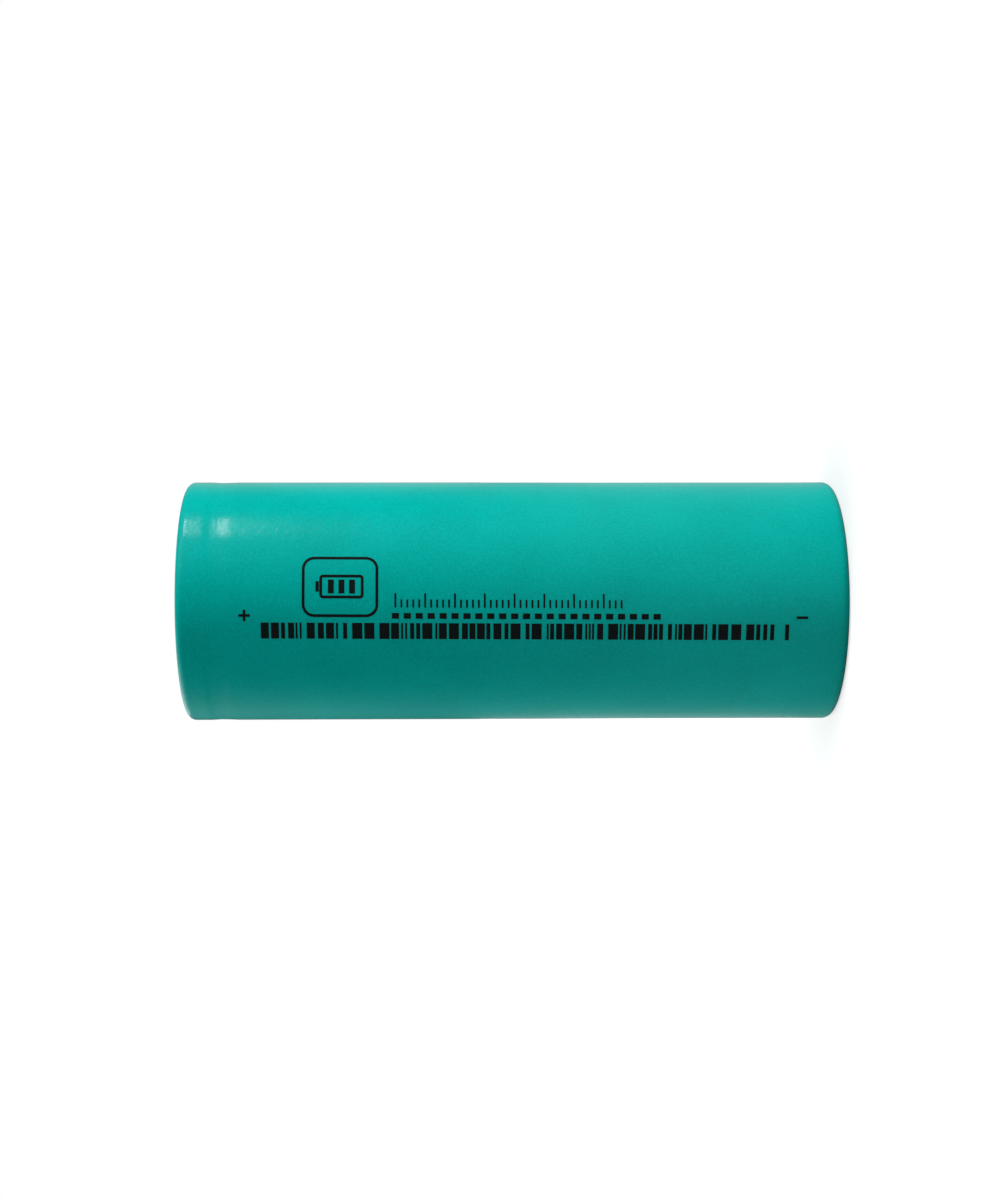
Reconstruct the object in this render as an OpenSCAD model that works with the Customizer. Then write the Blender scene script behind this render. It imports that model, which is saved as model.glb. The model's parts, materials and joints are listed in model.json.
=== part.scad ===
// Cylindrical lithium iron phosphate battery cell of the 26700 size, in a shrink sleeve.
// Millimetres. The cell stands on its negative end: the origin is the centre of the base,
// and +Z runs up the axis to the positive terminal. Every sub-part is a separate solid.

/* [Cell] */
// Diameter over the sleeve
cell_d = 26.2; // [25.8:0.1:26.6]
// Height from the base to the top of the positive cap
cell_h = 70.8; // [68:0.1:72]
// Height of the cap's contact above the sleeve's rim
cap_proud = 0.2; // [0.1:0.05:0.6]

/* [Sleeve] */
// Thickness of the shrink sleeve
sleeve_t = 0.15; // [0.1:0.01:0.2]
// Radius where the sleeve's fold ends on the positive end
top_fold_r = 9.8; // [9.4:0.1:10.6]
// Radius where the sleeve's fold ends on the negative end
base_fold_r = 10.6; // [10.4:0.1:11.2]
// Depth of the sleeve's dip over the can's bead groove
sleeve_dip = 0.05; // [0.05:0.01:0.12]

/* [Can] */
// Thickness of the can's side wall and lip
wall_t = 0.3; // [0.25:0.05:0.35]
// Thickness of the can's base
base_t = 0.4; // [0.3:0.05:0.5]
// Outer radius of the can's base corner
base_corner_r = 0.7; // [0.6:0.1:1]
// Outer radius of the crimped corner
crimp_corner_r = 0.6; // [0.5:0.05:0.7]
// Inner radius of the crimped lip
mouth_r = 10.3; // [10.2:0.1:10.8]
// Distance from the sleeve's rim to the middle of the bead groove
bead_below_rim = 3.15; // [3.1:0.05:3.3]
// Depth of the bead groove
bead_depth = 1.85; // [1.6:0.05:2]

/* [Cap and vent] */
// Radius of the cap's button
button_r = 7; // [6.5:0.1:7.4]
// Thickness of the cap
cap_t = 0.5; // [0.4:0.05:0.55]
// Thickness of the burst disc
disc_t = 0.3; // [0.2:0.05:0.3]
// Number of vent slots in the cap's skirt
vent_slots = 4; // [3:1:6]

/* [Roll] */
// Thickness of the coated cathode sheet
cathode_t = 0.16; // [0.16:0.01:0.2]
// Thickness of the coated anode sheet
anode_t = 0.12; // [0.1:0.01:0.16]
// Thickness of each separator
separator_t = 0.03; // [0.03:0.01:0.05]
// Radius of the open core
core_r = 1.9; // [1.9:0.1:2.4]
// Thickness of the current tabs
tab_t = 0.12; // [0.1:0.01:0.12]

/* [Hidden] */
$fn = 96;
over = 1;                                   // how far a cut runs past the surface it opens
degrees_per_radian = 180 / PI;

// Sleeve and can, from the outside in
sleeve_r = cell_d / 2;
sleeve_z1 = cell_h - cap_proud;
can_r = sleeve_r - sleeve_t;
can_inner_r = can_r - wall_t;
ring_t = 0.25;
ring_gap = 1.5;                             // open ring between the cap's button and the insulator ring
can_z0 = sleeve_t;
floor_z = can_z0 + base_t;
can_z1 = sleeve_z1 - sleeve_t - ring_t;
floor_corner_r = 0.25;                      // inner radius where the wall meets the base
sleeve_corner_r = crimp_corner_r + 0.05;    // inside radius of the sleeve's turn over the ring

// Bead groove: a half-round channel with rounded mouth edges
bead_z = sleeve_z1 - bead_below_rim;
bead_half_w = 0.6;
bead_r = can_r - bead_depth;                // radius at the bottom of the groove
bead_mouth_r = 0.45;                        // rounding of the groove's two edges
bead_top_z = bead_z + bead_half_w + wall_t;
bead_low_z = bead_z - bead_half_w - wall_t;
dip_half_w = 0.9;
dip_arc_r = (dip_half_w * dip_half_w + sleeve_dip * sleeve_dip) / (2 * sleeve_dip);

// Coined ring in the base: it sets off the contact face from the sleeve's fold
coin_r = 9.6;
coin_w = 0.3;
coin_depth = 0.08;

// Cap stack inside the gasket, from the bead up
gasket_t = 0.4;
gasket_lip_r = 10.2;
gasket_wall = 0.65;
gasket_overhang = 0.35;                     // how far the gasket shows inside the crimped lip
flange_r = can_inner_r - gasket_wall;
disc_z = bead_top_z + gasket_t;
flange_z = disc_z + disc_t;
flange_z1 = flange_z + cap_t;
gasket_z1 = can_z1 - wall_t;
gasket_mouth_r = mouth_r - gasket_overhang;
button_edge_r = 0.5;
button_inner_edge_r = 0.15;
vent_w = 3;
vent_h = 0.55;
vent_lift = 0.1;                            // height of the vent slots above the flange

// Burst disc: flange, step, web and a nub that meets the lower plate
disc_step_r = 8;
disc_web_r = 6.8;
nub_step_r = 2.2;
nub_r = 1.6;
disc_drop = 0.9;
nub_drop = 0.45;
web_z = disc_z - disc_drop;
nub_z = web_z - nub_drop;
score_r = 5.4;
score_w = 0.2;
score_depth = 0.1;

// Lower plate and the ring that grips its rim
plate_t = 0.4;
plate_r = 8.3;
plate_z = nub_z - plate_t;
plate_holes = 6;
plate_hole_r = 0.9;
plate_hole_pitch_r = 5;
grip_t = 0.2;
grip_lip = 0.6;
grip_wall = 0.8;
grip_step = 0.1;                            // clearance between the ring and the burst disc's step

// Roll: each half turn is a half ring, and the radius grows by half a pitch at each one
layer_gap = 0.005;
pitch = cathode_t + anode_t + 2 * separator_t + 4 * layer_gap;
half_pitch = pitch / 2;
anode_offset = separator_t + layer_gap;
outer_separator_offset = anode_offset + anode_t + layer_gap;
cathode_offset = outer_separator_offset + separator_t + layer_gap;
roll_clearance = 0.3;
half_turns = floor((can_inner_r - roll_clearance - core_r - pitch) / half_pitch);
roll_r = core_r + (half_turns - 1) * half_pitch + pitch + half_pitch / 2;

// Heights inside the can
insulator_t = 0.22;
stack_gap = 0.05;
lower_insulator_z = floor_z + 2 * tab_t + stack_gap;
upper_insulator_z = bead_low_z - 2 * stack_gap - insulator_t;
separator_z0 = lower_insulator_z + insulator_t + 2 * stack_gap;
separator_z1 = upper_insulator_z - 4 * stack_gap;
anode_margin = 0.8;
cathode_margin = 1.3;
upper_insulator_r = can_inner_r - 0.35;
lower_insulator_r = roll_r - 0.1;
insulator_holes = 8;
insulator_hole_r = 1;
insulator_hole_pitch_r = 9.6;

// Tabs and tapes
tape_t = 0.05;
tape_margin = 1;
outer_tab_w = 5;
outer_tab_h = 20;
inner_tab_w = 3;
foot_inset = 0.3;                           // an anode strip narrows where it turns under the roll
inner_foot_w = inner_tab_w - 2 * foot_inset;
outer_foot_w = outer_tab_w - 2 * foot_inset;
inner_foot_y = -1.2;
inner_tab_r = core_r - stack_gap;
inner_tab_z1 = separator_z1 - 12;
winding_tape_r = roll_r + 0.02;
winding_tape_z0 = separator_z0 + outer_tab_h + 3;
cathode_tab_w = 6;
tab_slot_gap = 0.4;                         // clearance round the cathode tab in the upper insulator
tab_slot_w = cathode_tab_w + 2 * tab_slot_gap;
tab_slot_depth = 1.6;
cathode_tab_t = 0.1;
cathode_tab_turn = 2 * floor(half_turns / 4);
cathode_face_r = core_r + cathode_offset + cathode_tab_turn * half_pitch + cathode_t;
cathode_tab_r = cathode_face_r - 0.01;
cathode_tab_z0 = separator_z0 + 12;
pocket_depth = 0.13;
tab_run_z = upper_insulator_z + insulator_t + 0.02;
tab_fold_r = (plate_z - tab_run_z) / 2;     // outer radius of the U-turn under the lower plate
tab_fold_y = -3;
tab_weld_y = 2;

// --- Half sections, drawn with radius along X and height along Y ---

module band(r0, r1, z0, z1) {
    translate([r0, z0]) square([r1 - r0, z1 - z0]);
}

module rounded_band(r1, z0, z1, low_r, high_r) {
    band(0, r1, z0 + low_r, z1 - high_r);
    band(0, r1 - low_r, z0, z0 + low_r);
    band(0, r1 - high_r, z1 - high_r, z1);
    translate([r1 - low_r, z0 + low_r]) circle(low_r);
    translate([r1 - high_r, z1 - high_r]) circle(high_r);
}

// A stamped step from one level to another, of even thickness upwards
module step_band(r0, z0, r1, z1, t) {
    polygon([[r0, z0], [r1, z1], [r1, z1 + t], [r0, z0 + t]]);
}

module bead_channel(half_w, outer_r) {
    translate([bead_r + bead_half_w, bead_z]) circle(half_w);
    band(bead_r + bead_half_w, outer_r, bead_z - half_w, bead_z + half_w);
}

// The sliver that rounding takes off one edge of the groove's mouth
module bead_mouth_edge(side) {
    edge_z = bead_z + side * bead_half_w;
    centre_z = edge_z + side * bead_mouth_r;
    difference() {
        band(can_r - bead_mouth_r, can_r + over, min(edge_z, centre_z), max(edge_z, centre_z));
        translate([can_r - bead_mouth_r, centre_z]) circle(bead_mouth_r);
    }
}

module can_section() {
    difference() {
        union() {
            difference() {
                rounded_band(can_r, can_z0, can_z1, base_corner_r, crimp_corner_r);
                rounded_band(can_inner_r, floor_z, can_z1 - wall_t, floor_corner_r, crimp_corner_r - wall_t);
            }
            bead_channel(bead_half_w + wall_t, can_r - wall_t / 2);
        }
        bead_channel(bead_half_w, can_r + over);
        bead_mouth_edge(1);
        bead_mouth_edge(-1);
        band(0, mouth_r, can_z1 - 2 * wall_t, can_z1 + over);
        band(coin_r, coin_r + coin_w, can_z0 - over, can_z0 + coin_depth);
    }
}

module sleeve_section() {
    dip_x = sleeve_r + dip_arc_r - sleeve_dip;
    difference() {
        union() {
            difference() {
                rounded_band(sleeve_r, 0, sleeve_z1, base_corner_r + sleeve_t, sleeve_corner_r + sleeve_t);
                rounded_band(can_r, sleeve_t, sleeve_z1 - sleeve_t, base_corner_r, sleeve_corner_r);
            }
            intersection() {
                translate([dip_x, bead_z]) circle(dip_arc_r + sleeve_t);
                band(can_r - over, sleeve_r, bead_z - dip_half_w, bead_z + dip_half_w);
            }
        }
        translate([dip_x, bead_z]) circle(dip_arc_r);
        band(0, base_fold_r, -over, 2 * sleeve_t);
        band(0, top_fold_r, sleeve_z1 - 2 * sleeve_t, sleeve_z1 + over);
    }
}

// --- Shared solids ---

// An upright curved strip, width w measured round radius r1 and centred on +Y
module curved_strip(r0, r1, w, z0, z1) {
    span = w / r1 * degrees_per_radian;
    rotate(90 - span / 2)
        rotate_extrude(angle = span) band(r0, r1, z0, z1);
}

// A flat strip along Y, cut to a round end of radius end_r
module flat_strip(w, y0, y1, end_r, z0, t) {
    intersection() {
        translate([-w / 2, y0, z0]) cube([w, y1 - y0, t]);
        translate([0, 0, z0 - over]) cylinder(r = end_r, h = t + 2 * over);
    }
}

// One spiral layer: half rings about two centres half a pitch apart meet end to end
module spiral_layer(offset_r, t, z0, z1, first, last) {
    translate([-half_pitch / 2, 0, 0])
        for (turn = [first : last]) {
            odd = turn % 2;
            r0 = core_r + offset_r + turn * half_pitch;
            translate([odd * half_pitch, 0, 0])
                rotate(odd * 180)
                    rotate_extrude(angle = 180) band(r0, r0 + t, z0, z1);
        }
}

// --- Sub-parts ---

module shrink_sleeve() {
    color("#00A196") rotate_extrude() sleeve_section();
}

module positive_insulator_ring() {
    color("white")
        rotate_extrude() band(button_r + ring_gap, can_r - sleeve_corner_r, can_z1, can_z1 + ring_t);
}

module can() {
    color("silver") rotate_extrude() can_section();
}

module seal_gasket() {
    color("gainsboro")
        rotate_extrude()
            difference() {
                rounded_band(can_inner_r, bead_top_z, gasket_z1, bead_mouth_r - wall_t,
                             crimp_corner_r - wall_t);
                band(0, flange_r, disc_z, flange_z1);
                band(0, gasket_lip_r, bead_top_z - over, disc_z + over / 2);
                band(0, gasket_mouth_r, flange_z, gasket_z1 + over);
            }
}

module positive_cap() {
    color("lightgray")
        difference() {
            rotate_extrude() {
                difference() {
                    rounded_band(button_r, flange_z, cell_h, button_inner_edge_r, button_edge_r);
                    rounded_band(button_r - cap_t, flange_z - over, cell_h - cap_t, button_inner_edge_r,
                                 button_inner_edge_r);
                }
                band(button_r - cap_t, flange_r, flange_z, flange_z1);
            }
            for (i = [0 : vent_slots - 1])
                rotate(i * 360 / vent_slots)
                    translate([button_r - 1.5 * cap_t, -vent_w / 2, flange_z1 + vent_lift])
                        cube([2 * cap_t, vent_w, vent_h]);
        }
}

module burst_disc() {
    color("silver")
        rotate_extrude()
            difference() {
                union() {
                    band(disc_step_r, flange_r, disc_z, disc_z + disc_t);
                    step_band(disc_web_r, web_z, disc_step_r, disc_z, disc_t);
                    band(nub_step_r, disc_web_r, web_z, web_z + disc_t);
                    step_band(nub_r, nub_z, nub_step_r, web_z, disc_t);
                    band(0, nub_r, nub_z, nub_z + disc_t);
                }
                band(score_r, score_r + score_w, web_z - over, web_z + score_depth);
            }
}

module disc_insulator() {
    color("ivory")
        rotate_extrude()
            difference() {
                band(plate_r - grip_lip, plate_r + grip_wall, plate_z - grip_t, disc_z);
                band(0, plate_r, plate_z, nub_z);
                band(0, disc_step_r + grip_step, nub_z + 2 * grip_t, disc_z + over);
            }
}

module lower_plate() {
    color("silver")
        translate([0, 0, plate_z])
            difference() {
                cylinder(r = plate_r, h = plate_t);
                for (i = [0 : plate_holes - 1])
                    rotate((i + 0.5) * 360 / plate_holes)
                        translate([plate_hole_pitch_r, 0, -over])
                            cylinder(r = plate_hole_r, h = plate_t + 2 * over);
            }
}

module cathode_tab() {
    color("whitesmoke")
        translate([-half_pitch / 2, 0, 0]) {
            curved_strip(cathode_tab_r - cathode_tab_t, cathode_tab_r, cathode_tab_w, cathode_tab_z0,
                         tab_run_z + cathode_tab_t);
            flat_strip(cathode_tab_w, tab_fold_y, cathode_face_r, cathode_tab_r, tab_run_z, cathode_tab_t);
            translate([-cathode_tab_w / 2, tab_fold_y, plate_z - cathode_tab_t])
                cube([cathode_tab_w, tab_weld_y - tab_fold_y, cathode_tab_t]);
            translate([0, tab_fold_y, tab_run_z + tab_fold_r])
                rotate([90, 0, 90])
                    translate([0, 0, -cathode_tab_w / 2])
                        linear_extrude(cathode_tab_w)
                            difference() {
                                circle(tab_fold_r);
                                circle(tab_fold_r - cathode_tab_t);
                                translate([0, -tab_fold_r - over]) square(2 * (tab_fold_r + over));
                            }
        }
}

module cathode_tab_tape() {
    color("#C98A2B")
        translate([-half_pitch / 2, 0, 0])
            curved_strip(cathode_tab_r - cathode_tab_t - tape_t, cathode_tab_r - cathode_tab_t,
                         cathode_tab_w + 2 * tape_margin, separator_z1 - cathode_margin + stack_gap,
                         upper_insulator_z - stack_gap);
}

module upper_insulator() {
    color("lightgreen")
        translate([0, 0, upper_insulator_z])
            difference() {
                cylinder(r = upper_insulator_r, h = insulator_t);
                translate([0, 0, -over]) cylinder(r = core_r, h = insulator_t + 2 * over);
                for (i = [0 : insulator_holes - 1])
                    rotate((i + 0.5) * 360 / insulator_holes)
                        translate([insulator_hole_pitch_r, 0, -over])
                            cylinder(r = insulator_hole_r, h = insulator_t + 2 * over);
                translate([-tab_slot_w / 2, cathode_tab_r + tab_slot_gap - tab_slot_depth, -over])
                    cube([tab_slot_w, tab_slot_depth, insulator_t + 2 * over]);
            }
}

module cathode_sheet() {
    color("dimgray")
        difference() {
            spiral_layer(cathode_offset, cathode_t, separator_z0 + cathode_margin,
                         separator_z1 - cathode_margin, 3, half_turns - 5);
            translate([-half_pitch / 2, 0, 0])
                curved_strip(cathode_face_r - pocket_depth, cathode_face_r + layer_gap / 2,
                             cathode_tab_w + tape_margin, cathode_tab_z0 - tape_margin, separator_z1);
        }
}

module anode_sheet() {
    color("#2B2B2E")
        spiral_layer(anode_offset, anode_t, separator_z0 + anode_margin, separator_z1 - anode_margin,
                     1, half_turns - 2);
}

module inner_separator() {
    color("white") spiral_layer(0, separator_t, separator_z0, separator_z1, 0, half_turns - 1);
}

module outer_separator() {
    color("snow")
        spiral_layer(outer_separator_offset, separator_t, separator_z0, separator_z1, 0, half_turns - 1);
}

module inner_anode_tab() {
    color("silver")
        translate([-half_pitch / 2, 0, 0]) {
            curved_strip(inner_tab_r - tab_t, inner_tab_r, inner_tab_w, floor_z + tab_t, inner_tab_z1);
            flat_strip(inner_foot_w, inner_foot_y, core_r, inner_tab_r, floor_z + tab_t, tab_t);
        }
}

module inner_tab_tape() {
    color("#C98A2B")
        translate([-half_pitch / 2, 0, 0])
            curved_strip(inner_tab_r - tab_t - tape_t, inner_tab_r - tab_t, inner_tab_w, separator_z0,
                         inner_tab_z1);
}

module outer_anode_tab() {
    outer_r = winding_tape_r + tab_t;
    color("silver")
        rotate(180) {
            curved_strip(winding_tape_r, outer_r, outer_tab_w, floor_z, floor_z + outer_tab_h);
            flat_strip(outer_foot_w, -core_r, outer_r, outer_r, floor_z, tab_t);
        }
}

module outer_tab_tape() {
    face_r = winding_tape_r + tab_t;
    color("#C98A2B")
        rotate(180)
            difference() {
                curved_strip(winding_tape_r, face_r + tape_t, outer_tab_w + 2 * tape_margin, separator_z0,
                             floor_z + outer_tab_h + tape_margin);
                curved_strip(winding_tape_r - over, face_r, outer_tab_w, floor_z, floor_z + outer_tab_h);
            }
}

module winding_tape() {
    color("#3E9B5B")
        rotate_extrude()
            band(winding_tape_r, winding_tape_r + tape_t, winding_tape_z0, separator_z1 - anode_margin);
}

module lower_insulator() {
    color("lightgreen")
        translate([0, 0, lower_insulator_z])
            difference() {
                cylinder(r = lower_insulator_r, h = insulator_t);
                translate([0, 0, -over]) cylinder(r = core_r + 2 * stack_gap, h = insulator_t + 2 * over);
            }
}

shrink_sleeve();
positive_insulator_ring();
can();
seal_gasket();
positive_cap();
burst_disc();
disc_insulator();
lower_plate();
cathode_tab();
cathode_tab_tape();
upper_insulator();
cathode_sheet();
anode_sheet();
inner_separator();
outer_separator();
inner_anode_tab();
inner_tab_tape();
outer_anode_tab();
outer_tab_tape();
winding_tape();
lower_insulator();
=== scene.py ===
import json
import math
import random

import bmesh
import bpy
from mathutils import Matrix, Vector, noise


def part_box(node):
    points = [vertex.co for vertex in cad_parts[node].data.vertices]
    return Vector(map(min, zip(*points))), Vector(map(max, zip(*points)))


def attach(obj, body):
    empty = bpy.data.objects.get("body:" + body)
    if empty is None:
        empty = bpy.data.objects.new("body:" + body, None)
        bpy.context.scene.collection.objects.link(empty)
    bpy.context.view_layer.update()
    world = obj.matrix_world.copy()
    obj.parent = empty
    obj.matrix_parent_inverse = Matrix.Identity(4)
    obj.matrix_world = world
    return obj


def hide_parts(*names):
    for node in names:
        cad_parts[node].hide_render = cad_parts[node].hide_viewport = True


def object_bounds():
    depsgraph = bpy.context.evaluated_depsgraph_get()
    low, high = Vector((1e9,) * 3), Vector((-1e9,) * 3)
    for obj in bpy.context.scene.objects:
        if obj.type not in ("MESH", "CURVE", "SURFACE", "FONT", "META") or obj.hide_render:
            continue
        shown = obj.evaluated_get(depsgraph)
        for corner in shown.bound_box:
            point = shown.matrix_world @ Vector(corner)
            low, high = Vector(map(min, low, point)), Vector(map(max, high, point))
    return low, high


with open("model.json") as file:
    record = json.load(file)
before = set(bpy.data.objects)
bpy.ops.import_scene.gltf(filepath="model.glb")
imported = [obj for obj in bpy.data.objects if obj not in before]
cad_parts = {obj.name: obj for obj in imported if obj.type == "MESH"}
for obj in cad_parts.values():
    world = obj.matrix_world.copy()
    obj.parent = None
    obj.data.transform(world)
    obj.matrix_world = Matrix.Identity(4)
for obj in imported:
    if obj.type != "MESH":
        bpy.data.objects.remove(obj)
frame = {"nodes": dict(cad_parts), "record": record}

cad_low, cad_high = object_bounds()
MM = 0.001

# ---------------------------------------------------------------------------------------------
# Sizes in metres: from the frame's boxes, and below them those of the part that no box gives
# ---------------------------------------------------------------------------------------------

SLEEVE_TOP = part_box("shrink_sleeve")[1][2]
SLEEVE_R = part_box("shrink_sleeve")[1][0]
CELL_TOP = cad_high[2]
RING_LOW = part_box("positive_insulator_ring")[0][2]
RING_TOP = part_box("positive_insulator_ring")[1][2]
RING_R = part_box("positive_insulator_ring")[1][0]
CAN_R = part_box("can")[1][0]
CAN_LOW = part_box("can")[0][2]
CAN_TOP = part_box("can")[1][2]
FLANGE_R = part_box("positive_cap")[1][0]
FLANGE_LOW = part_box("positive_cap")[0][2]

PRINT_LIFT = 0.015 * MM          # the ink's face above the film's
FILM_R = SLEEVE_R - PRINT_LIFT
FILM = 0.15 * MM                 # thickness of the film
TOP_FOLD_R = 9.8 * MM            # inner edges of its two folds
BASE_FOLD_R = 10.6 * MM
BEAD_Z = SLEEVE_TOP - 3.15 * MM  # middle of the can's bead groove
WALL = 0.3 * MM                  # thickness of the can's wall and of its base
BASE = 0.4 * MM
BASE_CORNER = 0.7 * MM
CRIMP_CORNER = 0.6 * MM
MOUTH_R = 10.3 * MM              # inner edge of the crimped lip
BEAD_DEPTH = 1.85 * MM
BEAD_HALF = 0.6 * MM             # radius of the groove's floor
BEAD_MOUTH = 0.45 * MM           # and of its two shoulders
BUTTON_R = 7.0 * MM
CAP = 0.5 * MM                   # thickness of the cap's sheet
RING_GAP = 1.5 * MM              # the bare strip of cap between the button and the washer
RING_INNER_R = BUTTON_R + RING_GAP
TOUCH = 0.01 * MM                # a point this near to a face counts as on it


# ---------------------------------------------------------------------------------------------
# Mesh helpers
# ---------------------------------------------------------------------------------------------

def finish_piece(name, bm, material, replaced=(), sharp=30):
    """Turns a mesh into a named piece of the cell. Edges sharper than sharp degrees stay crisp."""
    bmesh.ops.recalc_face_normals(bm, faces=bm.faces)
    mesh = bpy.data.meshes.new(name)
    bm.to_mesh(mesh)
    bm.free()
    mesh.shade_smooth()
    mesh.set_sharp_from_angle(angle=math.radians(sharp))
    mesh.materials.append(material)
    piece = bpy.data.objects.new(name, mesh)
    bpy.context.scene.collection.objects.link(piece)
    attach(piece, "root")
    if replaced:
        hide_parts(*replaced)
    return piece


def arc(centre_r, centre_z, radius, start, end, steps):
    """Points of an arc in the half section, from angle start to angle end in degrees."""
    points = []
    for i in range(steps + 1):
        a = math.radians(start + (end - start) * i / steps)
        points.append((centre_r + radius * math.cos(a), centre_z + radius * math.sin(a)))
    return points


def line(start, end, steps):
    """Points from start up to but not including end."""
    return [tuple(a + (b - a) * i / steps for a, b in zip(start, end)) for i in range(steps)]


def lathe(outline, around, move=None):
    """A closed half section turned about Z. A point on the axis becomes one vertex.

    move, if given, shifts each point: it takes (r, z, angle, index in the outline), gives (r, z).
    """
    bm = bmesh.new()
    rings = []
    for index, (r, z) in enumerate(outline):
        if r < 1e-7:
            rings.append([bm.verts.new((0, 0, z))])
            continue
        ring = []
        for i in range(around):
            angle = 2 * math.pi * i / around
            reach, height = move(r, z, angle, index) if move else (r, z)
            ring.append(bm.verts.new((reach * math.cos(angle), reach * math.sin(angle), height)))
        rings.append(ring)
    for low, high in zip(rings, rings[1:] + rings[:1]):
        if len(low) == 1 and len(high) == 1:
            continue
        for i in range(around):
            j = (i + 1) % around
            corners = [low[i % len(low)], low[j % len(low)], high[j % len(high)], high[i % len(high)]]
            bm.faces.new(list(dict.fromkeys(corners)))
    return bm


def ripple(angle, count, seed):
    """Smooth noise round a circle, between about -1 and 1, with no seam."""
    spot = Vector((math.cos(angle) * count, math.sin(angle) * count, seed))
    return noise.noise(spot) * 2


def ripples(angle, waves):
    """A sum of ripples, in metres. Each wave is (height in millimetres, count, seed)."""
    return sum(height * ripple(angle, count, seed) for height, count, seed in waves) * MM


# ---------------------------------------------------------------------------------------------
# Materials
# ---------------------------------------------------------------------------------------------

def add(tree, kind, values=None, **settings):
    """A new node. values go to its sockets, settings to the node itself."""
    made = tree.nodes.new(kind)
    for key, value in settings.items():
        setattr(made, key, value)
    for key, value in (values or {}).items():
        made.inputs[key].default_value = value
    return made


def new_material(name, color, **sockets):
    """A Principled material. Returns it with its tree, its shader and the object's coordinates."""
    material = bpy.data.materials.new(name)
    material.use_nodes = True
    tree = material.node_tree
    shader = tree.nodes["Principled BSDF"]
    shader.inputs["Base Color"].default_value = (*color, 1)
    for key, value in sockets.items():
        shader.inputs[key.replace("_", " ")].default_value = value
    place = add(tree, "ShaderNodeTexCoord").outputs["Object"]
    return material, tree, shader, place


def noise_of(tree, place, size, detail=3.0, stretch=(1, 1, 1)):
    """Noise whose features are about size metres across."""
    scaled = add(tree, "ShaderNodeMapping", {"Scale": stretch})
    tree.links.new(place, scaled.inputs["Vector"])
    made = add(tree, "ShaderNodeTexNoise", {"Scale": 1 / size, "Detail": detail, "Roughness": 0.55})
    tree.links.new(scaled.outputs["Vector"], made.inputs["Vector"])
    return made.outputs["Fac"]


def remap(tree, value, low, high, from_low=0.3, from_high=0.7):
    """Spreads value from one range to another. The first range's default suits noise."""
    made = add(tree, "ShaderNodeMapRange", {"From Min": from_low, "From Max": from_high,
                                            "To Min": low, "To Max": high})
    tree.links.new(value, made.inputs["Value"])
    return made.outputs["Result"]


def tint(tree, shader, value, dark, light):
    """Colours the shader between dark and light as value goes from 0 to 1."""
    ramp = add(tree, "ShaderNodeMix", {6: (*dark, 1), 7: (*light, 1)}, data_type="RGBA")
    tree.links.new(value, ramp.inputs[0])
    tree.links.new(ramp.outputs[2], shader.inputs["Base Color"])


def rough(tree, shader, value, low, high):
    """Spreads noise over a range of roughness."""
    tree.links.new(remap(tree, value, low, high), shader.inputs["Roughness"])


def bump(tree, shader, heights):
    """Chains bumps. heights is a list of (value, depth in metres)."""
    normal = None
    for value, depth in heights:
        made = add(tree, "ShaderNodeBump", {"Strength": 1.0, "Distance": depth})
        tree.links.new(value, made.inputs["Height"])
        if normal:
            tree.links.new(normal, made.inputs["Normal"])
        normal = made.outputs["Normal"]
    tree.links.new(normal, shader.inputs["Normal"])


def mixed(tree, first, second, share):
    """The first value with a share of the second."""
    made = add(tree, "ShaderNodeMix", {0: share}, data_type="FLOAT")
    tree.links.new(first, made.inputs[2])
    tree.links.new(second, made.inputs[3])
    return made.outputs[0]


def sleeve_material():
    """Teal PVC shrink film: a soft gloss, with fine grain, orange peel and slight streaks of draw."""
    material, tree, shader, place = new_material(
        "teal_shrink_film", (0.0, 0.44, 0.385), Specular_IOR_Level=0.08, IOR=1.5)
    cloud = noise_of(tree, place, 9 * MM, 2)
    grain = noise_of(tree, place, 0.2 * MM, 3)
    colour = mixed(tree, remap(tree, cloud, 0, 1), remap(tree, grain, 0, 1), 0.72)
    tint(tree, shader, colour, (0.0, 0.36, 0.31), (0.0, 0.51, 0.455))
    peel = noise_of(tree, place, 0.55 * MM, 2)
    draw = noise_of(tree, place, 1.6 * MM, 2, (1, 1, 0.12))
    rough(tree, shader, peel, 0.13, 0.2)
    bump(tree, shader, [(draw, 0.02 * MM), (peel, 0.012 * MM), (grain, 0.006 * MM)])
    return material


def ink_material():
    """Dull black ink with fine specks."""
    material, tree, shader, place = new_material(
        "black_ink", (0.004, 0.006, 0.006), Roughness=0.6, Specular_IOR_Level=0.06)
    speck = noise_of(tree, place, 0.07 * MM, 2)
    tint(tree, shader, remap(tree, speck, 0, 1, 0.35, 0.75), (0.002, 0.003, 0.003), (0.012, 0.02, 0.019))
    bump(tree, shader, [(speck, 0.004 * MM)])
    return material


def turned(tree, place):
    """Coordinates that are the same all round the axis, for rings and for lines of draw."""
    parts = add(tree, "ShaderNodeSeparateXYZ")
    tree.links.new(place, parts.inputs[0])
    flat = add(tree, "ShaderNodeCombineXYZ")
    tree.links.new(parts.outputs["X"], flat.inputs["X"])
    tree.links.new(parts.outputs["Y"], flat.inputs["Y"])
    reach = add(tree, "ShaderNodeVectorMath", operation="LENGTH")
    tree.links.new(flat.outputs[0], reach.inputs[0])
    rings = add(tree, "ShaderNodeCombineXYZ")
    tree.links.new(reach.outputs["Value"], rings.inputs["X"])
    tree.links.new(parts.outputs["Z"], rings.inputs["Z"])
    return rings.outputs[0]


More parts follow.
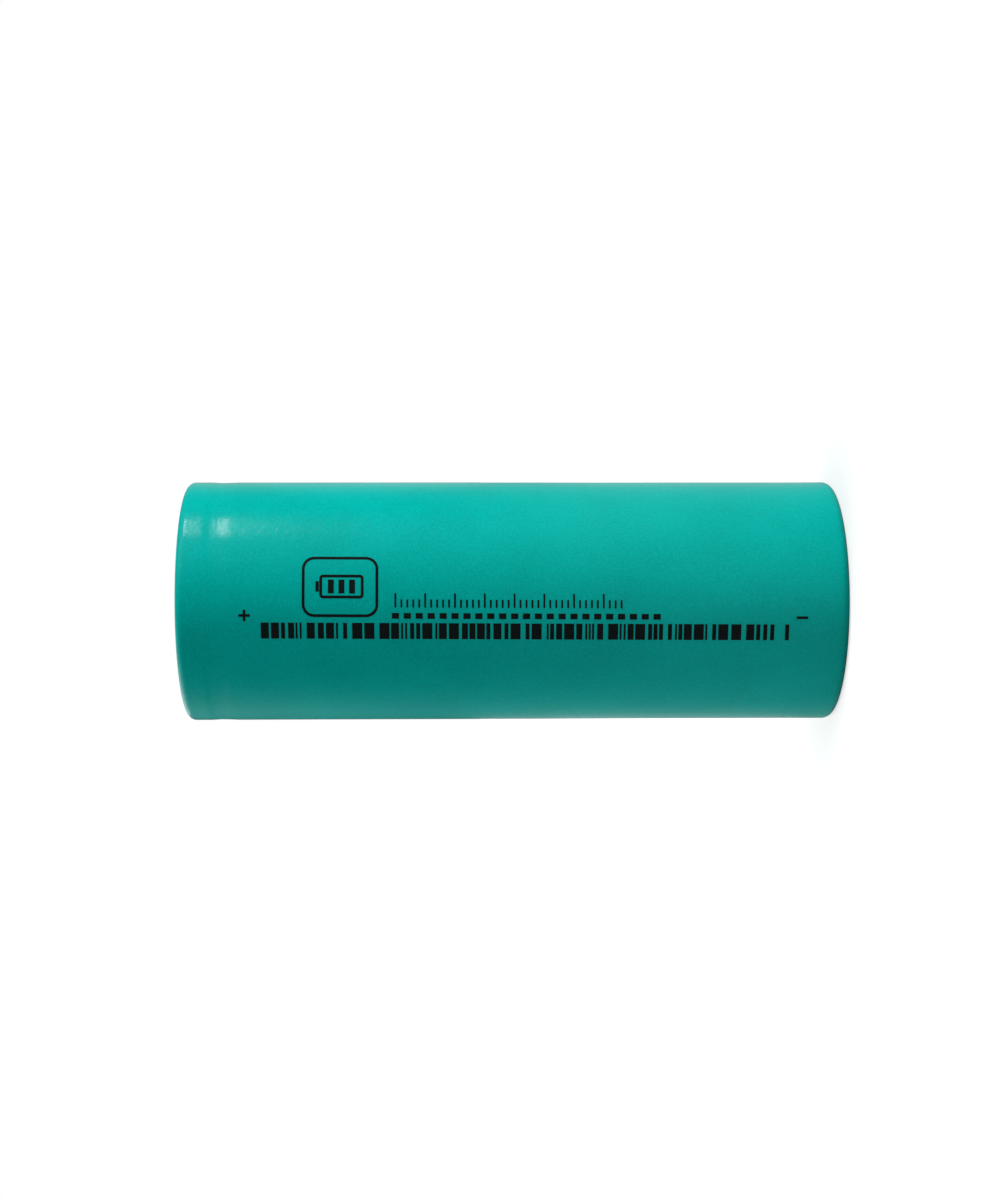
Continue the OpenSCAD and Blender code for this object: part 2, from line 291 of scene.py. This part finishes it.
def steel_material(name, color, line_size, stretch, ring_size):
    """Plated or bare sheet metal: rolling lines, faint rings from the press, and fine tooth."""
    material, tree, shader, place = new_material(name, color, Metallic=1.0)
    cloud = noise_of(tree, place, 5 * MM, 4)
    lines = noise_of(tree, place, line_size, 3, stretch)
    rings = noise_of(tree, turned(tree, place), ring_size, 3)
    fine = noise_of(tree, place, 0.05 * MM, 2)
    darker = tuple(c * 0.82 for c in color)
    tint(tree, shader, mixed(tree, remap(tree, cloud, 0, 1), remap(tree, lines, 0, 1), 0.4), darker, color)
    rough(tree, shader, mixed(tree, lines, cloud, 0.4), 0.17, 0.36)
    bump(tree, shader, [(lines, 0.006 * MM), (rings, 0.004 * MM), (fine, 0.002 * MM)])
    return material


def fibre_material(name, light, dark):
    """Pressed fibre: matted strands and a dry surface."""
    material, tree, shader, place = new_material(name, light, Roughness=0.85, Specular_IOR_Level=0.25)
    strands = noise_of(tree, place, 0.12 * MM, 5, (1, 0.35, 1))
    cross = noise_of(tree, place, 0.16 * MM, 5, (0.35, 1, 1))
    tint(tree, shader, remap(tree, strands, 0, 1), dark, light)
    rough(tree, shader, cross, 0.75, 0.95)
    bump(tree, shader, [(strands, 0.03 * MM), (cross, 0.03 * MM)])
    return material


def plastic_material(name, light, dark, roughness):
    """Moulded or cast plastic: faint clouds and a fine peel."""
    material, tree, shader, place = new_material(name, light)
    cloud = noise_of(tree, place, 3 * MM, 3)
    peel = noise_of(tree, place, 0.2 * MM, 2)
    tint(tree, shader, remap(tree, cloud, 0, 1), dark, light)
    rough(tree, shader, peel, roughness * 0.85, min(1.0, roughness * 1.15))
    bump(tree, shader, [(peel, 0.008 * MM)])
    return material


MATERIALS = {
    "sleeve_film": sleeve_material(),
    "print_ink": ink_material(),
    "fibre_board": fibre_material("white_fibre", (0.82, 0.81, 0.77), (0.66, 0.65, 0.6)),
    "nickel_steel": steel_material("nickel_plated_can", (0.74, 0.72, 0.68), 0.5 * MM, (1, 0.06, 1),
                                   0.35 * MM),
    "cap_steel": steel_material("nickel_plated_cap", (0.78, 0.77, 0.74), 0.4 * MM, (0.06, 1, 1), 0.3 * MM),
    "gasket_polymer": plastic_material("gasket_polymer", (0.72, 0.72, 0.68), (0.62, 0.62, 0.58), 0.45),
    "aluminium": steel_material("mill_aluminium", (0.8, 0.81, 0.82), 0.4 * MM, (1, 0.08, 1), 0.4 * MM),
    "nickel_strip": steel_material("nickel_strip", (0.66, 0.62, 0.56), 0.3 * MM, (1, 1, 0.05), 0.6 * MM),
    "insulator_disc": fibre_material("insulator_fibre", (0.5, 0.66, 0.46), (0.38, 0.54, 0.35)),
    "cathode_coating": plastic_material("cathode_coating", (0.05, 0.052, 0.056), (0.035, 0.037, 0.04), 0.7),
    "anode_coating": plastic_material("anode_coating", (0.022, 0.022, 0.025), (0.013, 0.013, 0.015), 0.6),
    "separator_film": plastic_material("separator_film", (0.86, 0.87, 0.86), (0.78, 0.79, 0.79), 0.5),
    "amber_tape": plastic_material("amber_tape", (0.5, 0.2, 0.03), (0.4, 0.14, 0.02), 0.3),
    "green_tape": plastic_material("green_tape", (0.05, 0.3, 0.12), (0.035, 0.23, 0.09), 0.3),
}

for part in frame["record"]["subparts"]:
    drawn = frame["nodes"][part["node"]]
    drawn.data.materials.clear()
    drawn.data.materials.append(MATERIALS[part["material_slot"]])


# ---------------------------------------------------------------------------------------------
# Shrink sleeve
# ---------------------------------------------------------------------------------------------

CORNER_SLACK = 0.05 * MM         # the film rounds the crimped corner more softly than the can does
TOP_CORNER = CRIMP_CORNER + CORNER_SLACK + FILM
BOTTOM_CORNER = BASE_CORNER + FILM
DIP_Z = SLEEVE_TOP - 3.7 * MM    # the film sags deepest at the groove's lower edge
DIP_DEPTH = 0.05 * MM
DIP_FALL = 1.4                   # how steeply the dip ends
DIP_HEAD = 0.9 * MM              # the dip's reach towards the head
DIP_WALL = 1.5 * MM              # and towards the wall, where the film comes back slowly
DIP_ABOVE = 1.7 * MM             # finely divided stretch above and below the dip
DIP_BELOW = 2.6 * MM
UNEVEN = 0.004 * MM              # height of the wall's slow unevenness, its length along the cell
UNEVEN_LENGTH = 9 * MM
UNEVEN_COUNT = 2.2               # and how much of it there is round the cell
TOP_EDGE = ((0.16, 1.6, 3), (0.07, 7, 8))       # how the folds' inner edges wander, as ripples
BASE_EDGE = ((0.14, 1.5, 5), (0.06, 8, 13))
TOP_WAVES = ((0.03, 14, 21), (0.012, 38, 4))    # waves of the top fold's face
BASE_PUCKER = 0.035 * MM         # height of the base fold's puckers


def sleeve_outline():
    """The film's outer face from the base fold to the top fold, then its inner face back down."""
    wall_low = BOTTOM_CORNER
    wall_high = SLEEVE_TOP - TOP_CORNER
    outer = line((BASE_FOLD_R, 0), (FILM_R - BOTTOM_CORNER, 0), 10)
    outer += arc(FILM_R - BOTTOM_CORNER, wall_low, BOTTOM_CORNER, -90, 0, 12)
    outer += line((FILM_R, wall_low), (FILM_R, DIP_Z - DIP_BELOW), 120)[1:]
    outer += line((FILM_R, DIP_Z - DIP_BELOW), (FILM_R, DIP_Z + DIP_ABOVE), 60)
    outer += line((FILM_R, DIP_Z + DIP_ABOVE), (FILM_R, wall_high), 6)
    outer += arc(FILM_R - TOP_CORNER, wall_high, TOP_CORNER, 0, 90, 12)
    outer += line((FILM_R - TOP_CORNER, SLEEVE_TOP), (TOP_FOLD_R, SLEEVE_TOP), 16)[1:]
    inner = []
    for r, z in reversed(outer):
        if z <= wall_low and r <= FILM_R - BOTTOM_CORNER:
            inner.append((r, FILM))
        elif z >= wall_high and r <= FILM_R - TOP_CORNER:
            inner.append((r, SLEEVE_TOP - FILM))
        elif wall_low <= z <= wall_high:
            inner.append((FILM_R - FILM, z))
        else:
            centre_r = FILM_R - (BOTTOM_CORNER if z < wall_low else TOP_CORNER)
            centre_z = wall_low if z < wall_low else wall_high
            away = Vector((r - centre_r, z - centre_z))
            away *= 1 - FILM / away.length
            inner.append((centre_r + away.x, centre_z + away.y))
    return outer, inner


outer_face, inner_face = sleeve_outline()


def sleeve_move(r, z, angle, index):
    """Shrink film's own shape: a dip over the bead, soft unevenness, and wavy folded edges."""
    is_outer = index < len(outer_face)
    offset = (z - DIP_Z) / (DIP_HEAD if z > DIP_Z else DIP_WALL)
    dip = DIP_DEPTH * math.exp(-DIP_FALL * abs(offset) ** 3)
    if r > FILM_R - 2 * FILM:
        spot = (math.cos(angle) * UNEVEN_COUNT, math.sin(angle) * UNEVEN_COUNT, z / UNEVEN_LENGTH)
        r -= dip + UNEVEN * (1 + noise.noise(Vector(spot)))
    top_part = max(0.0, (FILM_R - TOP_CORNER - r) / (FILM_R - TOP_CORNER - TOP_FOLD_R))
    base_part = max(0.0, (FILM_R - BOTTOM_CORNER - r) / (FILM_R - BOTTOM_CORNER - BASE_FOLD_R))
    if z > CELL_TOP / 2 and top_part:
        r += ripples(angle, TOP_EDGE) * top_part ** 2
        if is_outer:
            z += ripples(angle, TOP_WAVES) * top_part
    elif z < CELL_TOP / 2 and base_part:
        r += ripples(angle, BASE_EDGE) * base_part ** 2
        if is_outer:
            z += BASE_PUCKER * base_part * abs(ripple(angle, 13, 34))
    return r, z


finish_piece("shrink_sleeve_film", lathe(outer_face + inner_face, 360, sleeve_move),
             MATERIALS["sleeve_film"], ["shrink_sleeve"], 40)


# ---------------------------------------------------------------------------------------------
# Can, cap and insulator ring
# ---------------------------------------------------------------------------------------------

COIN_R = 9.6 * MM                # the coined ring in the base: inner radius, width, depth
COIN_W = 0.3 * MM
COIN_DEPTH = 0.08 * MM
COIN_LIP = 0.02 * MM             # bevel at the ring's two lips
COIN_SLOPE = 0.04 * MM           # how far its sides lean in
FLOOR_FILLET = 0.25 * MM         # where the can's wall meets its base inside


def can_outline():
    """The drawn can: base with a coined ring, wall, bead groove and crimped lip."""
    inner_r = CAN_R - WALL
    groove_r = CAN_R - BEAD_DEPTH + BEAD_HALF
    floor = CAN_LOW + BASE
    outline = [(0, CAN_LOW), (COIN_R - COIN_LIP, CAN_LOW), (COIN_R, CAN_LOW + COIN_LIP)]
    outline += [(COIN_R + COIN_SLOPE, CAN_LOW + COIN_DEPTH)]
    outline += [(COIN_R + COIN_W - COIN_SLOPE, CAN_LOW + COIN_DEPTH)]
    outline += [(COIN_R + COIN_W, CAN_LOW + COIN_LIP), (COIN_R + COIN_W + COIN_LIP, CAN_LOW)]
    outline += arc(CAN_R - BASE_CORNER, CAN_LOW + BASE_CORNER, BASE_CORNER, -90, 0, 10)
    outline += arc(CAN_R - BEAD_MOUTH, BEAD_Z - BEAD_HALF - BEAD_MOUTH, BEAD_MOUTH, 0, 90, 8)
    outline += arc(groove_r, BEAD_Z, BEAD_HALF, 270, 90, 16)
    outline += arc(CAN_R - BEAD_MOUTH, BEAD_Z + BEAD_HALF + BEAD_MOUTH, BEAD_MOUTH, -90, 0, 8)
    outline += arc(CAN_R - CRIMP_CORNER, CAN_TOP - CRIMP_CORNER, CRIMP_CORNER, 0, 90, 10)
    outline += [(MOUTH_R, CAN_TOP), (MOUTH_R, CAN_TOP - WALL)]
    outline += arc(CAN_R - CRIMP_CORNER, CAN_TOP - CRIMP_CORNER, CRIMP_CORNER - WALL, 90, 0, 6)
    outline += [(inner_r, BEAD_Z + BEAD_HALF + WALL)]
    outline += arc(groove_r, BEAD_Z, BEAD_HALF + WALL, 90, 270, 16)
    outline += [(inner_r, BEAD_Z - BEAD_HALF - WALL)]
    outline += arc(inner_r - FLOOR_FILLET, floor + FLOOR_FILLET, FLOOR_FILLET, 0, -90, 5)
    outline += [(0, floor)]
    return outline


FLANGE_TOP = FLANGE_LOW + CAP
FLANGE_EDGE = 0.05 * MM
SKIRT_FILLET = 0.1 * MM          # where the button's skirt rises from the flange, outside
TOP_FILLET = 0.15 * MM           # where the skirt meets the button's top, inside
BUTTON_CORNER = 0.5 * MM
SLOTS = 4
SLOT_LOW = FLANGE_TOP + SKIRT_FILLET
SLOT_HIGH = SLOT_LOW + 0.55 * MM
SLOT_WIDTH = 3.0 * MM
SLOT_ANGLE = SLOT_WIDTH / BUTTON_R
SLOT_NEAR = 0.8                  # cosine of a turn that takes in one slot's rim and no other's
DISH = 0.012 * MM                # height and length of the pressed top's unevenness
DISH_LENGTH = 4 * MM
CAP_STEPS = 288


def cap_outline():
    """The flat-top cap's half section, with points at the vent slots' edges."""
    inner_r = BUTTON_R - CAP
    edge = FLANGE_EDGE
    outline = line((inner_r, FLANGE_LOW), (FLANGE_R - edge, FLANGE_LOW), 6)
    outline += arc(FLANGE_R - edge, FLANGE_LOW + edge, edge, -90, 0, 3)
    outline += arc(FLANGE_R - edge, FLANGE_TOP - edge, edge, 0, 90, 3)
    outline += arc(BUTTON_R + SKIRT_FILLET, SLOT_LOW, SKIRT_FILLET, 270, 180, 4)
    outline += [(BUTTON_R, SLOT_HIGH)]
    outline += arc(BUTTON_R - BUTTON_CORNER, CELL_TOP - BUTTON_CORNER, BUTTON_CORNER, 0, 90, 12)
    outline += line((BUTTON_R - BUTTON_CORNER, CELL_TOP), (0, CELL_TOP), 10)[1:]
    outline += [(0, CELL_TOP), (0, CELL_TOP - CAP)]
    outline += arc(inner_r - TOP_FILLET, CELL_TOP - CAP - TOP_FILLET, TOP_FILLET, 90, 0, 6)
    outline += [(inner_r, SLOT_HIGH), (inner_r, SLOT_LOW)]
    return outline


def cap_move(r, z, angle, index):
    """The pressed top is not quite flat: a few microns of dish and wave."""
    if z > CELL_TOP - TOUCH:
        spot = Vector((r * math.cos(angle), r * math.sin(angle), 0))
        z -= DISH * (1 + noise.noise(spot / DISH_LENGTH))
    return r, z


def in_slot(point):
    """True for a point of the skirt that lies inside one of the vent slots."""
    if not SLOT_LOW < point.z < SLOT_HIGH or point.to_2d().length > BUTTON_R + TOUCH:
        return False
    turn = math.atan2(point.y, point.x) / (2 * math.pi / SLOTS)
    return abs(turn - round(turn)) * 2 * math.pi / SLOTS < SLOT_ANGLE / 2


def cut_vents(bm):
    """Opens the slots through the skirt and walls their sides."""
    open_faces = [face for face in bm.faces if in_slot(face.calc_center_median())]
    bmesh.ops.delete(bm, geom=open_faces, context="FACES")
    rims = [edge for edge in bm.edges if edge.is_boundary]
    for slot in range(SLOTS):
        turn = 2 * math.pi * slot / SLOTS
        towards = Vector((math.cos(turn), math.sin(turn)))
        near = []
        for edge in rims:
            place = (edge.verts[0].co + edge.verts[1].co).to_2d().normalized()
            if place.dot(towards) > SLOT_NEAR:
                near.append(edge)
        bmesh.ops.bridge_loops(bm, edges=near)


cap_mesh = lathe(cap_outline(), CAP_STEPS, cap_move)
cut_vents(cap_mesh)
finish_piece("flat_top_cap", cap_mesh, MATERIALS["cap_steel"], ["positive_cap"], 40)


RING_EDGE = 0.05 * MM            # rounding of the washer's edges
PUNCH = 0.03 * MM                # how far its punched inner edge wanders, and how deep that reaches
PUNCH_REACH = 0.4 * MM
RING_WAVE = 0.006 * MM


def ring_outline():
    """The fibre washer's section, with its punched edges a little rounded."""
    edge = RING_EDGE
    outline = arc(RING_INNER_R + edge, RING_LOW + edge, edge, 180, 270, 3)
    outline += line((RING_INNER_R + edge, RING_LOW), (RING_R - edge, RING_LOW), 8)[1:]
    outline += arc(RING_R - edge, RING_LOW + edge, edge, -90, 0, 3)
    outline += arc(RING_R - edge, RING_TOP - edge, edge, 0, 90, 3)
    outline += line((RING_R - edge, RING_TOP), (RING_INNER_R + edge, RING_TOP), 14)[1:]
    outline += arc(RING_INNER_R + edge, RING_TOP - edge, edge, 90, 180, 3)
    return outline


def ring_move(r, z, angle, index):
    """A punched edge that isn't a perfect circle, and a slightly uneven face."""
    inside = max(0.0, 1 - (r - RING_INNER_R) / PUNCH_REACH)
    r += PUNCH * inside * ripple(angle, 9, 2)
    if z > RING_TOP - TOUCH:
        z -= RING_WAVE * (1 + ripple(angle, 5, r / MM))
    return r, z


finish_piece("fibre_washer", lathe(ring_outline(), 288, ring_move), MATERIALS["fibre_board"],
             ["positive_insulator_ring"], 40)
finish_piece("drawn_can", lathe(can_outline(), 240), MATERIALS["nickel_steel"], ["can"])


# ---------------------------------------------------------------------------------------------
# Generic print: polarity signs, a framed cell symbol, a plain scale and a strip of bars
# ---------------------------------------------------------------------------------------------

INK_FACE_R = SLEEVE_R - 0.003 * MM
INK_BACK_R = SLEEVE_R - 0.05 * MM
STEP = 0.4 * MM                  # longest stretch of ink that stays flat round the film
SKEW = 0.006                     # the print drifts round the cell a little towards the negative end
CORNER_STEPS = 8


def on_film(z, s, radius):
    """The point at height z and distance s round the film from the front (-Y), towards +X."""
    angle = (s - SKEW * (SLEEVE_TOP - z)) / SLEEVE_R
    return (radius * math.sin(angle), -radius * math.cos(angle), z)


def add_strip(bm, left, right, closed=False):
    """A thin solid on the film between two lists of (z, s) points."""
    count = len(left)
    rails = []
    for z, s in left:
        rails.append([bm.verts.new(on_film(z, s, INK_FACE_R)), bm.verts.new(on_film(z, s, INK_BACK_R))])
    for index, (z, s) in enumerate(right):
        rails[index] += [bm.verts.new(on_film(z, s, INK_BACK_R)), bm.verts.new(on_film(z, s, INK_FACE_R))]
    last = count if closed else count - 1
    for i in range(last):
        here, there = rails[i], rails[(i + 1) % count]
        for a in range(4):
            b = (a + 1) % 4
            bm.faces.new([here[a], here[b], there[b], there[a]])
    if not closed:
        bm.faces.new(rails[0])
        bm.faces.new(rails[-1])


def add_mark(bm, z, s, length, height):
    """A rectangle of ink centred at (z, s)."""
    steps = max(1, math.ceil(height / STEP))
    rows = [s - height / 2 + height * i / steps for i in range(steps + 1)]
    add_strip(bm, [(z - length / 2, row) for row in rows], [(z + length / 2, row) for row in rows])


def add_frame(bm, z, s, length, height, corner, stroke):
    """A rounded rectangle drawn as an outline."""
    inner = []
    outer = []
    spots = [(length / 2, height / 2, 0), (-length / 2, height / 2, 90),
             (-length / 2, -height / 2, 180), (length / 2, -height / 2, 270)]
    for far_z, far_s, start in spots:
        centre_z = z + far_z - math.copysign(corner, far_z)
        centre_s = s + far_s - math.copysign(corner, far_s)
        for i in range(CORNER_STEPS + 1):
            a = math.radians(start + i * 90 / CORNER_STEPS)
            for points, radius in ((inner, corner - stroke), (outer, corner)):
                points.append((centre_z + radius * math.cos(a), centre_s + radius * math.sin(a)))
    inner = split_long(inner)
    outer = split_long(outer)
    add_strip(bm, inner, outer, closed=True)


def split_long(points, parts=12):
    """Cuts each long side of a closed outline into equal parts."""
    cut = []
    for (z0, s0), (z1, s1) in zip(points, points[1:] + points[:1]):
        cuts = parts if math.hypot(z1 - z0, s1 - s0) > STEP else 1
        cut += [(z0 + (z1 - z0) * i / cuts, s0 + (s1 - s0) * i / cuts) for i in range(cuts)]
    return cut


def print_piece(name, draw):
    """One piece of ink, from a function that adds its marks to a mesh."""
    bm = bmesh.new()
    draw(bm)
    return finish_piece(name, bm, MATERIALS["print_ink"])


BAR_ROW = -3.04 * MM
BAR_HEIGHT = 1.72 * MM
BAR_TOP_Z = 61.6 * MM
BAR_LOW_Z = 6.45 * MM
BAR_UNIT = 0.21 * MM
BAR_MARGIN = 5 * BAR_UNIT        # kept free before the strip's last bar


def draw_bars(bm):
    """A strip of bars of random widths, which stands for nothing."""
    chance = random.Random(26)
    z = BAR_TOP_Z
    while z > BAR_LOW_Z + BAR_MARGIN:
        bar = chance.choice((1, 1, 2, 2, 3, 4, 5)) * BAR_UNIT
        add_mark(bm, z - bar / 2, BAR_ROW, bar, BAR_HEIGHT)
        z -= bar + chance.choice((0.7, 1, 1, 1, 1.5, 2.5)) * BAR_UNIT
    add_mark(bm, BAR_LOW_Z + BAR_UNIT, BAR_ROW, 2 * BAR_UNIT, BAR_HEIGHT)


SCALE_HIGH_Z = 47.6 * MM
SCALE_LOW_Z = 23.9 * MM
DASH_LOW_Z = 19.8 * MM
UPPER_ROW = -0.55 * MM           # the foot of the scale's ticks
LOWER_ROW = -1.42 * MM
TICK_PITCH = 0.62 * MM
TICK_W = 0.2 * MM
TALL_TICK = 1.5 * MM
SHORT_TICK = 0.85 * MM
TALL_EVERY = 5
DASH_LENGTH = 0.75 * MM
DASH_HEIGHT = 0.6 * MM


def draw_scale(bm):
    """A plain scale: equal ticks with a taller one every fifth, and a row of equal dashes under it."""
    for i in range(int((SCALE_HIGH_Z - SCALE_LOW_Z) / TICK_PITCH) + 1):
        height = TALL_TICK if i % TALL_EVERY == 0 else SHORT_TICK
        add_mark(bm, SCALE_HIGH_Z - i * TICK_PITCH, UPPER_ROW + height / 2, TICK_W, height)
    pitch = 2 * TICK_PITCH
    for i in range(int((SCALE_HIGH_Z - DASH_LOW_Z) / pitch) + 1):
        add_mark(bm, SCALE_HIGH_Z - i * pitch, LOWER_ROW, DASH_LENGTH, DASH_HEIGHT)


MARK_Z = 53.35 * MM
MARK_ROW = 1.62 * MM
MARK_STROKE = 0.3 * MM
FRAME_LENGTH = 7.95 * MM
FRAME_HEIGHT = 6.4 * MM
FRAME_CORNER = 1.3 * MM
CELL_SHIFT = 0.15 * MM           # the drawn cell sits this much off the frame's middle, for its nub
CELL_LENGTH = 4.6 * MM
CELL_HEIGHT = 2.5 * MM
CELL_CORNER = 0.4 * MM
NUB_PLACE = 2.37 * MM
NUB_LENGTH = 0.36 * MM
NUB_HEIGHT = 1.1 * MM
CHARGE_BARS = 3
CHARGE_FROM = 0.95               # the first charge bar's place and the pitch, in millimetres
CHARGE_PITCH = 1.1
CHARGE_LENGTH = 0.62 * MM
CHARGE_HEIGHT = 1.45 * MM


def draw_symbol(bm):
    """A framed outline of a cell with three charge bars."""
    add_frame(bm, MARK_Z, MARK_ROW, FRAME_LENGTH, FRAME_HEIGHT, FRAME_CORNER, MARK_STROKE)
    add_frame(bm, MARK_Z - CELL_SHIFT, MARK_ROW, CELL_LENGTH, CELL_HEIGHT, CELL_CORNER, MARK_STROKE)
    add_mark(bm, MARK_Z + NUB_PLACE, MARK_ROW, NUB_LENGTH, NUB_HEIGHT)
    for i in range(CHARGE_BARS):
        z = MARK_Z + (CHARGE_FROM - i * CHARGE_PITCH) * MM
        add_mark(bm, z, MARK_ROW, CHARGE_LENGTH, CHARGE_HEIGHT)


PLUS_Z = 63.3 * MM
MINUS_Z = 5.1 * MM
SIGN_ROW = -1.45 * MM
SIGN_LENGTH = 1.2 * MM
SIGN_STROKE = 0.28 * MM


def draw_signs(bm):
    """A plus made of a bar and two half bars that meet it, and a minus."""
    add_mark(bm, PLUS_Z, SIGN_ROW, SIGN_LENGTH, SIGN_STROKE)
    arm = (SIGN_LENGTH - SIGN_STROKE) / 2
    for side in (-1, 1):
        add_mark(bm, PLUS_Z, SIGN_ROW + side * (SIGN_STROKE + arm) / 2, SIGN_STROKE, arm)
    add_mark(bm, MINUS_Z, SIGN_ROW, SIGN_LENGTH, SIGN_STROKE)


for label, draw in (("print_bar_strip", draw_bars), ("print_scale", draw_scale),
                    ("print_cell_symbol", draw_symbol), ("print_polarity_signs", draw_signs)):
    print_piece(label, draw)


# ---------------------------------------------------------------------------------------------
# Floor, lights, world and camera
# ---------------------------------------------------------------------------------------------

SHADED_NEAR_WHITE = 0.61                # added in the picture alone: lower by the cell, so its real shadow shows and a soft painted shade rings the base, and higher away from it, so that the floor reads as white
FAR_WHITE = 0.8                  # and away from it, so that the floor reads as white
WHITE_FROM = 14 * MM             # the ring in which the one goes over into the other
WHITE_TO = 30 * MM


def camera_ray(tree):
    """1 for what the picture sees directly, 0 for what lights the object."""
    return add(tree, "ShaderNodeLightPath").outputs["Is Camera Ray"]


def make_floor():
    """A plain pale floor. What it adds in the picture alone falls off near the cell, which paints a soft
    shade round the base.
    """
    bm = bmesh.new()
    bmesh.ops.create_grid(bm, x_segments=1, y_segments=1, size=3)
    mesh = bpy.data.meshes.new("studio_floor")
    bm.to_mesh(mesh)
    bm.free()
    floor = bpy.data.objects.new("studio_floor", mesh)
    material, tree, shader, place = new_material("pale_floor", (0.5, 0.5, 0.5), Roughness=0.9,
                                                 Specular_IOR_Level=0.1)
    shader.inputs["Emission Color"].default_value = (1, 1, 1, 1)
    reach = add(tree, "ShaderNodeVectorMath", operation="LENGTH")
    tree.links.new(place, reach.inputs[0])
    # lower glow by the cell: painted shade round the base, on top of its real shadow
    white = remap(tree, reach.outputs["Value"], SHADED_NEAR_WHITE, FAR_WHITE, WHITE_FROM, WHITE_TO)
    shown = add(tree, "ShaderNodeMath", operation="MULTIPLY")
    tree.links.new(white, shown.inputs[0])
    tree.links.new(camera_ray(tree), shown.inputs[1])
    tree.links.new(shown.outputs["Value"], shader.inputs["Emission Strength"])
    mesh.materials.append(material)
    bpy.context.scene.collection.objects.link(floor)


def make_light(name, place, target, size, power):
    """A white rectangular lamp, its size in metres and its power in watts."""
    data = bpy.data.lights.new(name, "AREA")
    data.shape = "RECTANGLE"
    data.size, data.size_y = size
    data.energy = power
    lamp = bpy.data.objects.new(name, data)
    lamp.location = place
    lamp.rotation_mode = "QUATERNION"
    lamp.rotation_quaternion = (Vector(target) - Vector(place)).to_track_quat("-Z", "Y")
    bpy.context.scene.collection.objects.link(lamp)


SKY = 0.02                       # the dim light from everywhere
# Soft patches of light in the world: the direction of each one's middle, and its strength there.
GLOWS = (((1, -0.6, 0.9), 2.5), ((-1, 0.5, 1), 3.2), ((0.5, 1, 0), 0.5))
GLOW_FALL = 8.0                  # how fast a patch fades away from its middle


def glow(tree, place, direction, strength):
    """A soft patch of light in the world, brightest in one direction."""
    towards = add(tree, "ShaderNodeVectorMath", {1: Vector(direction).normalized()},
                  operation="DOT_PRODUCT")
    tree.links.new(place, towards.inputs[0])
    front = add(tree, "ShaderNodeMath", {1: 0.0}, operation="MAXIMUM")
    tree.links.new(towards.outputs["Value"], front.inputs[0])
    soft = add(tree, "ShaderNodeMath", {1: GLOW_FALL}, operation="POWER")
    tree.links.new(front.outputs["Value"], soft.inputs[0])
    scaled = add(tree, "ShaderNodeMath", {1: strength}, operation="MULTIPLY")
    tree.links.new(soft.outputs["Value"], scaled.inputs[0])
    return scaled.outputs["Value"]


def make_world():
    """White in the picture. The object is lit by a dim sky with a few soft patches."""
    world = bpy.data.worlds.new("studio")
    bpy.context.scene.world = world
    world.use_nodes = True
    tree = world.node_tree
    tree.nodes.clear()
    place = add(tree, "ShaderNodeTexCoord").outputs["Generated"]
    total = None
    for direction, strength in GLOWS:
        summed = add(tree, "ShaderNodeMath", {1: SKY}, operation="ADD")
        tree.links.new(glow(tree, place, direction, strength), summed.inputs[0])
        if total:
            tree.links.new(total, summed.inputs[1])
        total = summed.outputs["Value"]
    output = add(tree, "ShaderNodeOutputWorld")
    seen = add(tree, "ShaderNodeBackground", {"Color": (1, 1, 1, 1), "Strength": 1.0})
    lit = add(tree, "ShaderNodeBackground", {"Color": (1, 1, 1, 1)})
    tree.links.new(total, lit.inputs["Strength"])
    choice = add(tree, "ShaderNodeMixShader")
    tree.links.new(camera_ray(tree), choice.inputs[0])
    tree.links.new(lit.outputs[0], choice.inputs[1])
    tree.links.new(seen.outputs[0], choice.inputs[2])
    tree.links.new(choice.outputs[0], output.inputs["Surface"])


CAMERA_DISTANCE = 215.8 * MM
CAMERA_SHIFT = (1.12 * MM, -0.07 * MM)      # the axis's middle from the optical axis, right and up
CAMERA_YAW = math.radians(1.303)
CAMERA_ROLL = math.radians(0.107)
LENS = 58.42


def make_camera():
    """Looks along +Y, rolled a quarter turn so that the positive end is on the left."""
    data = bpy.data.cameras.new("camera")
    data.lens = LENS
    data.sensor_width = 36
    data.clip_start = 0.01
    data.clip_end = 20
    camera = bpy.data.objects.new("camera", data)
    along = Vector((0, 0, -1)) * math.cos(CAMERA_YAW) - Vector((0, 1, 0)) * math.sin(CAMERA_YAW)
    across = Vector((1, 0, 0))
    right = along * math.cos(CAMERA_ROLL) - across * math.sin(CAMERA_ROLL)
    up = along * math.sin(CAMERA_ROLL) + across * math.cos(CAMERA_ROLL)
    ahead = up.cross(right)
    centre = Vector((0, 0, SLEEVE_TOP / 2))
    place = centre - right * CAMERA_SHIFT[0] - up * CAMERA_SHIFT[1] - ahead * CAMERA_DISTANCE
    turn = Matrix((right, up, -ahead)).transposed().to_4x4()
    camera.matrix_world = Matrix.Translation(place) @ turn
    bpy.context.scene.collection.objects.link(camera)
    bpy.context.scene.camera = camera


make_floor()
middle = (0, 0, SLEEVE_TOP / 2)
make_light("key_softbox", (0.48, -0.129, 0.183), middle, (0.165, 0.075), 1.4)
make_light("back_softbox", (-0.15, 0.45, 0.4), middle, (0.5, 0.4), 0.7)
make_world()
make_camera()
bpy.context.scene.view_settings.view_transform = "Standard"
